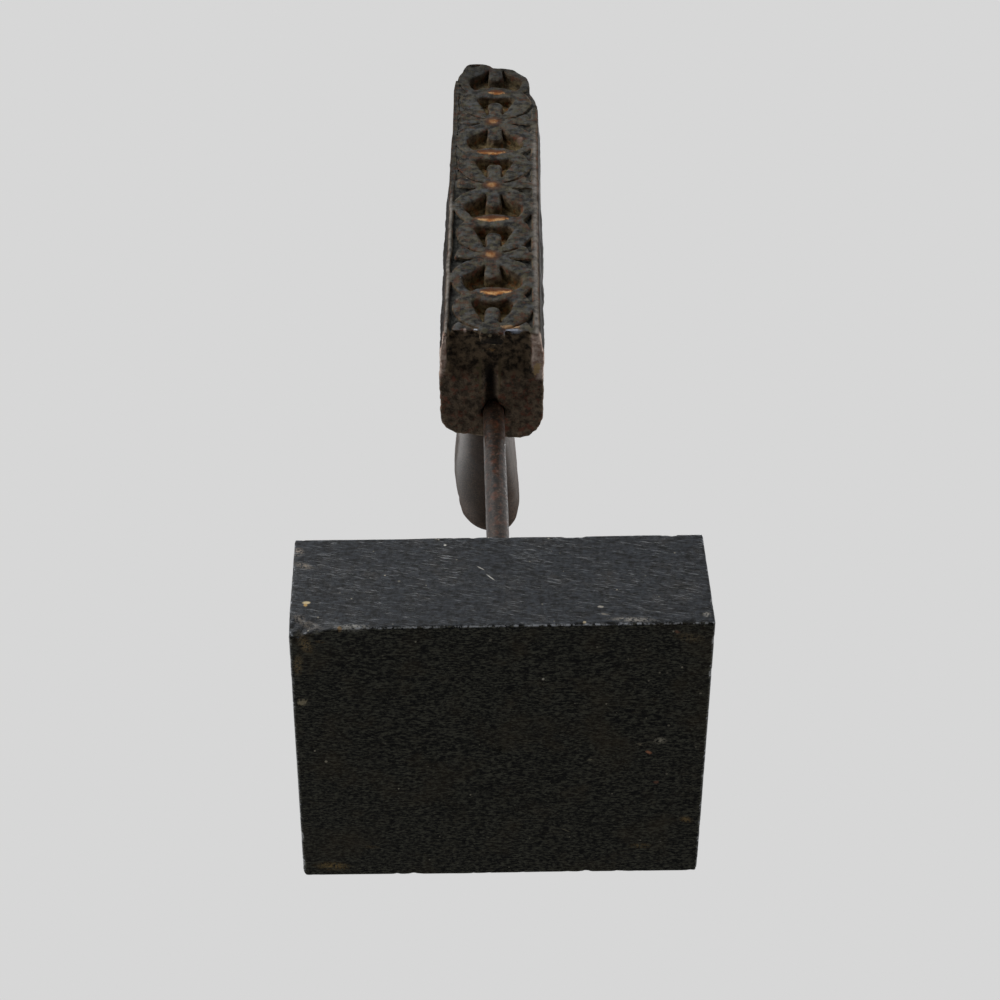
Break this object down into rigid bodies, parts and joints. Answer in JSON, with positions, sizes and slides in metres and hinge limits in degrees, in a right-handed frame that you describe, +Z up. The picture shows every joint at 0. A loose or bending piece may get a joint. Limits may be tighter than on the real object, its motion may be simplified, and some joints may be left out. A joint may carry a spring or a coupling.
{
  "type": "textile printing block",
  "caption": "Long wooden block with a border of crossing rings carved in relief for printing cloth, a grip along its back, standing on an iron rod in a black plinth.",
  "frame": {"origin": "middle of the plinth's underside, on the surface that it stands on", "axes": "+Z up along the rod, -Y the way the carved printing face looks, +X to the right as seen from the printing face"},
  "size_m": [0.127, 0.1269, 0.4015],
  "materials": {
    "plinth_black": "black stain over sawn wood, rubbed through at edges and corners",
    "rod_iron": "rusted round bar",
    "block_wood": "dye-blackened carved hardwood, worn bare on the high points",
    "handle_wood": "dark hardwood polished by the hand",
    "peg_wood": "split hardwood pegs, end grain showing"
  },
  "bodies": {
    "stand": {"plinth": "plinth_black"},
    "rod": {"mount_rod": "rod_iron"},
    "block": {"block_body": "block_wood", "handle": "handle_wood", "handle_pegs": "peg_wood"}
  },
  "joints": [
    {"name": "rod_swivel", "type": "hinge", "parent": "stand", "child": "rod", "pos_m": [0.0012, 0, 0.0425], "axis": [0, 0, 1], "continuous": true},
    {"name": "block_lift", "type": "slide", "parent": "rod", "child": "block", "axis": [0, 0, 1], "range_m": [0, 0.075]}
  ]
}
